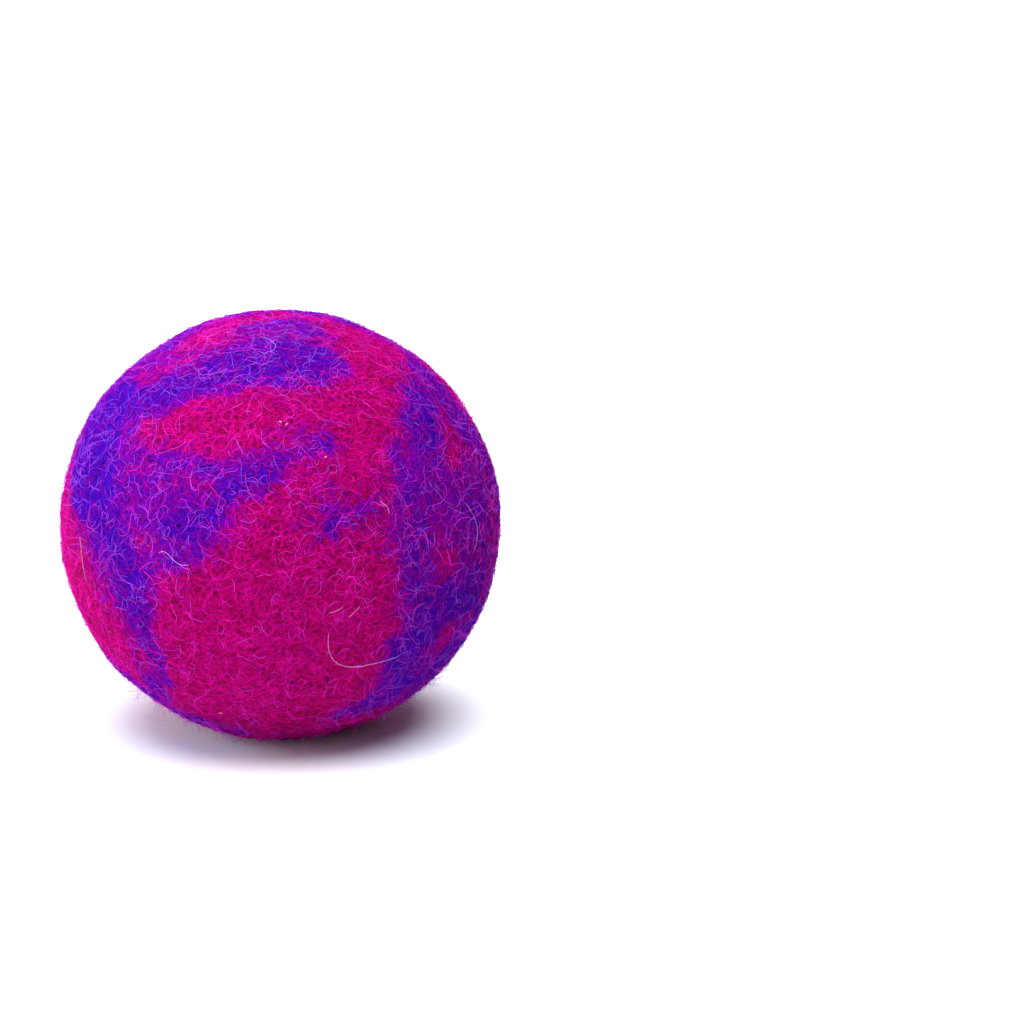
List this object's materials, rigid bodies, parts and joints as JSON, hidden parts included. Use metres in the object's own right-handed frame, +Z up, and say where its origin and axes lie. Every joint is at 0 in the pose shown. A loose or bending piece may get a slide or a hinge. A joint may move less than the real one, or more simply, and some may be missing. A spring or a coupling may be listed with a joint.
{
  "type": "dryer ball",
  "caption": "Wet-felted wool dryer ball with a magenta coat and blue-violet wisps laid into it, settled onto a small flat.",
  "frame": {"origin": "middle of the bounding box's underside, on the surface that the ball rests on", "axes": "+Z up, which is the ball's shortest way through; -Y faces the front, where the middle streak and the left flank wisp are; +X is to the right"},
  "size_m": [0.071, 0.071, 0.0675],
  "materials": {
    "natural_wool": "matte felted wool",
    "magenta_wool": "matte felted wool with a fine nap",
    "violet_wool": "matte felted wool with a fine nap"
  },
  "bodies": {
    "root": {"start_knot": "natural_wool", "core_roll": "natural_wool", "first_wrap": "natural_wool", "second_wrap": "natural_wool", "third_wrap": "natural_wool", "fourth_wrap": "natural_wool", "magenta_coat": "magenta_wool", "crown_wisp": "violet_wool", "top_rim_wisp": "violet_wool", "left_rim_wisp": "violet_wool", "right_rim_wisp": "violet_wool", "left_shoulder_wisp": "violet_wool", "right_shoulder_wisp": "violet_wool", "left_flank_wisp": "violet_wool", "middle_streak_wisp": "violet_wool", "middle_patch_wisp": "violet_wool", "front_spot_wisp": "violet_wool", "small_spot_wisp": "violet_wool", "right_spot_wisp": "violet_wool", "right_waist_wisp": "violet_wool", "right_hip_wisp": "violet_wool", "right_flank_wisp": "violet_wool", "base_left_wisp": "violet_wool", "base_streak_wisp": "violet_wool", "base_right_wisp": "violet_wool", "back_crown_wisp": "violet_wool", "back_left_wisp": "violet_wool", "back_middle_wisp": "violet_wool", "back_right_wisp": "violet_wool", "back_low_wisp": "violet_wool", "back_base_wisp": "violet_wool", "left_low_wisp": "violet_wool", "right_low_wisp": "violet_wool"}
  },
  "joints": []
}
